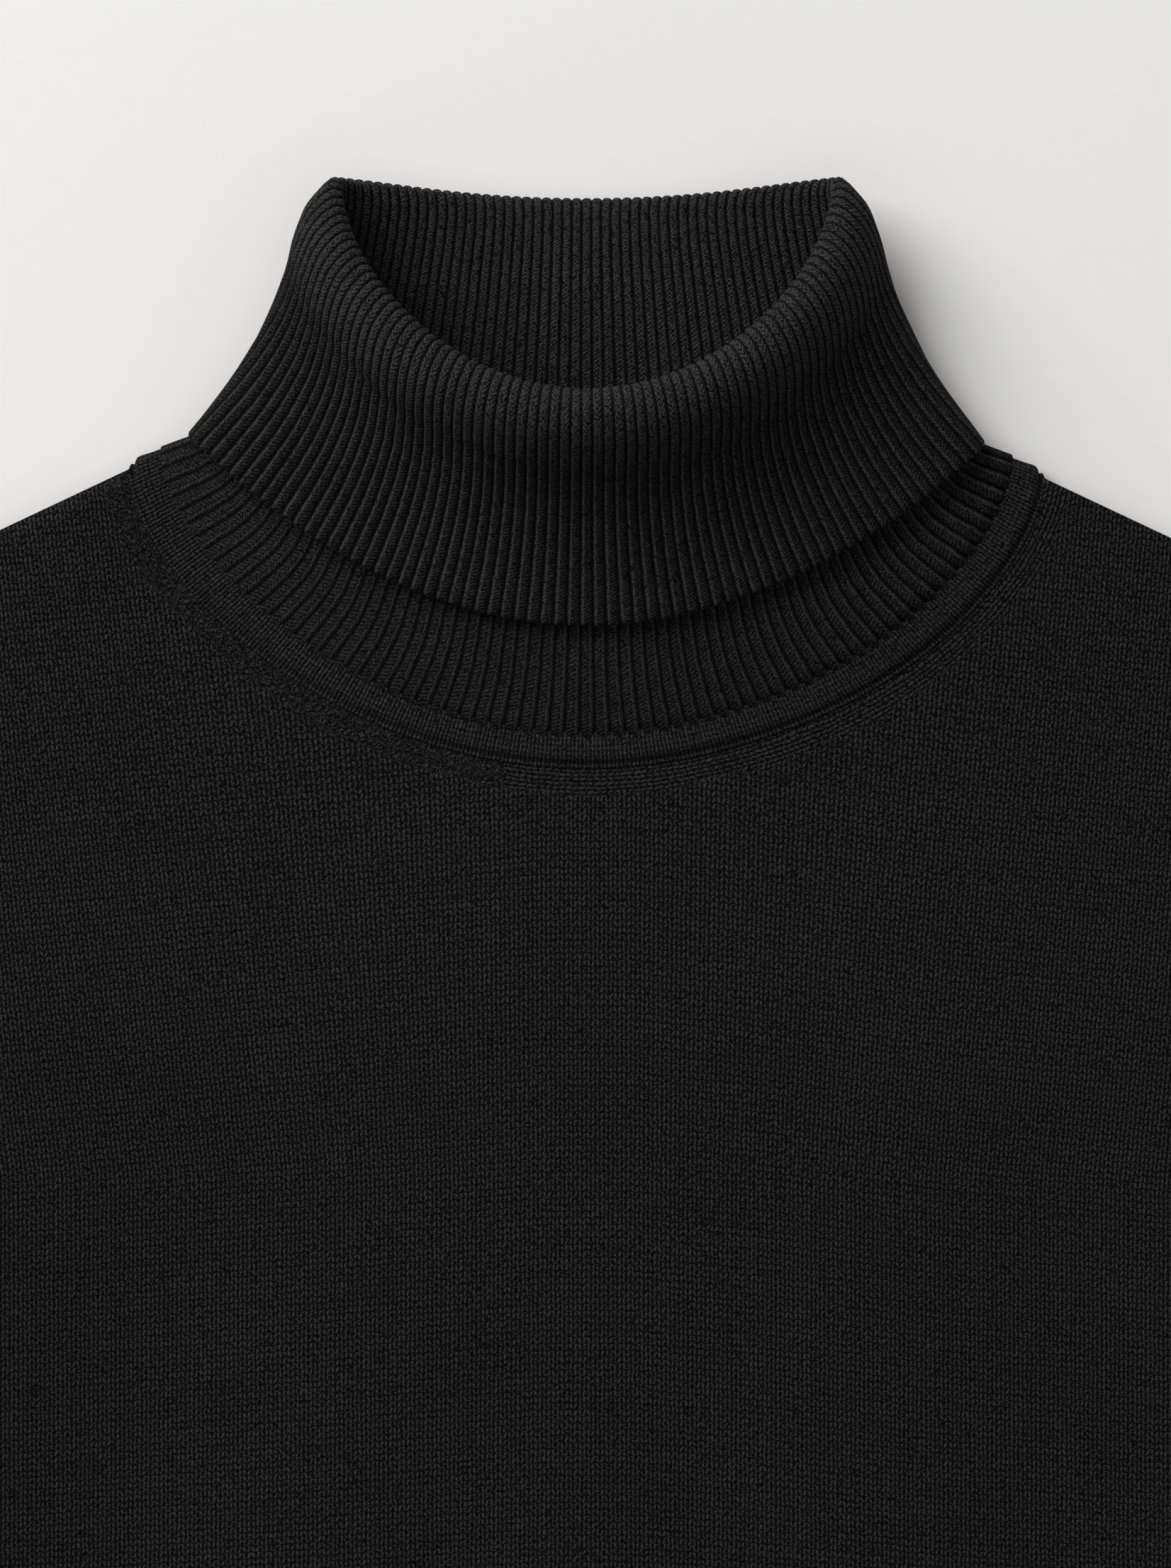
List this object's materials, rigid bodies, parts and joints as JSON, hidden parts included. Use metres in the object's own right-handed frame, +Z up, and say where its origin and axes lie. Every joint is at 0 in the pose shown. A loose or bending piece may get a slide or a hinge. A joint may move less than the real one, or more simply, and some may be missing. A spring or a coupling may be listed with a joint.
{
  "type": "turtleneck sweater",
  "caption": "Long-sleeved fine-knit sweater laid flat on its back, with a tall ribbed collar folded over and propped open above a narrow neck band.",
  "frame": {"origin": "centre of the bounding box's base, on the surface that the sweater lies on", "axes": "+X towards the wearer's left sleeve, +Y from the hem towards the collar, +Z up from the back through the front"},
  "size_m": [1.3434, 0.7387, 0.0397],
  "materials": {
    "body_knit": "black fine-gauge stocking stitch, matt with a faint nap",
    "rib_knit": "black one-and-one rib knit, matt with a faint nap",
    "trim_knit": "black knitted neck band, matt with a faint nap"
  },
  "bodies": {
    "root": {"front": "body_knit", "back": "body_knit", "sleeve_left": "body_knit", "sleeve_right": "body_knit", "neck_trim": "trim_knit", "collar": "rib_knit"}
  },
  "joints": []
}
